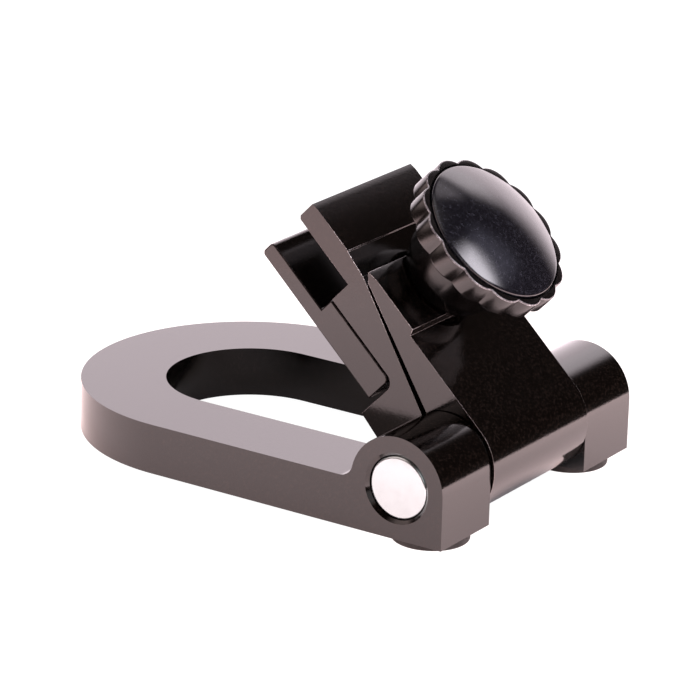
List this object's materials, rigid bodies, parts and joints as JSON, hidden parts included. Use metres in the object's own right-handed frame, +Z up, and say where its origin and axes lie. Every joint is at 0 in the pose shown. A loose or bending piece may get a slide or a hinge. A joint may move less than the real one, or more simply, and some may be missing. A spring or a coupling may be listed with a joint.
{
  "type": "tilting micrometer stand",
  "caption": "Bench stand with a U-shaped base and a tilting pinch-clamp arm; a domed knob closes the jaw and locks the hinge.",
  "frame": {"origin": "under the middle of the stand's overall length and width, on the surface that the feet stand on", "axes": "+X from the rounded toe to the hinge, +Y along the hinge pin, +Z up"},
  "size_m": [0.0808, 0.055, 0.0513],
  "materials": {
    "anodised_black": "fine bead-blasted black anodising, satin",
    "bright_steel": "ground and polished steel",
    "spring_steel": "plain spring steel, slightly dull",
    "knob_plastic": "moulded black plastic, semi-gloss",
    "cap_plastic": "polished black plastic",
    "black_rubber": "matte black rubber"
  },
  "bodies": {
    "base": {"base_frame": "anodised_black", "hinge_pin": "bright_steel", "rear_foot_left": "black_rubber", "rear_foot_right": "black_rubber", "toe_foot": "black_rubber"},
    "arm": {"clamp_arm": "anodised_black", "guide_dowel_left": "bright_steel", "guide_dowel_right": "bright_steel", "jaw_spring": "spring_steel", "thrust_washer": "spring_steel"},
    "jaw": {"clamp_jaw": "anodised_black"},
    "knob": {"clamp_stud": "bright_steel", "knob_body": "knob_plastic", "knob_cap": "cap_plastic"}
  },
  "joints": [
    {"name": "arm_tilt", "type": "hinge", "parent": "base", "child": "arm", "pos_m": [0.03188, 0, 0.00945], "axis": [0, 1, 0], "range_deg": [-43.5, 85]},
    {"name": "knob_turn", "type": "hinge", "parent": "arm", "child": "knob", "pos_m": [0.03046, 0, 0.04227], "axis": [0.6909, 0, 0.723], "range_deg": [0, 1008]},
    {"name": "jaw_slide", "type": "slide", "parent": "arm", "child": "jaw", "axis": [-0.6909, 0, -0.723], "range_m": [0, 0.0028]}
  ],
  "couplings": [
    {"joint": "jaw_slide", "follows": "knob_turn", "m_per_rad": 0.00015915}
  ]
}
